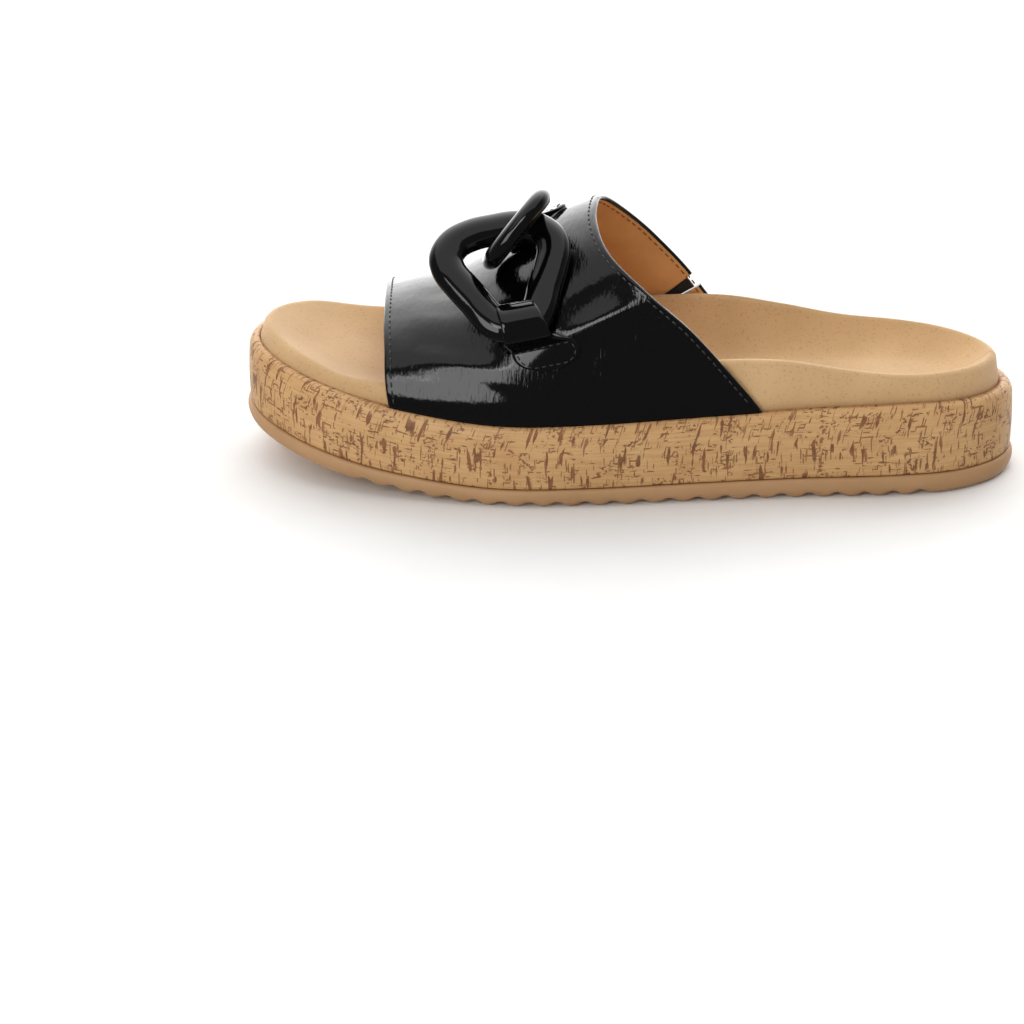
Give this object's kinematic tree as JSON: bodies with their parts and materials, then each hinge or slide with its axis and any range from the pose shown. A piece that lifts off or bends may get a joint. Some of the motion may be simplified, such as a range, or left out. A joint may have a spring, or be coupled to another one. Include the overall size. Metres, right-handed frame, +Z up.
{
  "type": "slide sandal",
  "caption": "Left platform slide sandal with a contoured footbed, one wide closed strap and two interlocked links sewn to it by tabs.",
  "frame": {"origin": "centre of the bounding box, on the floor under the sole", "axes": "+X from the toe to the heel, +Y to the medial (big toe) side, +Z up"},
  "size_m": [0.2738, 0.1018, 0.1082],
  "materials": {
    "rubber": "matt moulded",
    "cork_print": "satin printed foil",
    "nubuck": "napped nubuck",
    "patent": "glossy patent, tan lining",
    "elastic": "ribbed elastic"
  },
  "bodies": {
    "root": {"outsole": "rubber", "cork_platform": "cork_print", "footbed": "nubuck", "strap": "patent", "elastic_gore": "elastic", "link_lateral": "patent", "link_medial": "patent", "tab_lateral": "patent", "tab_medial": "patent"}
  },
  "joints": []
}
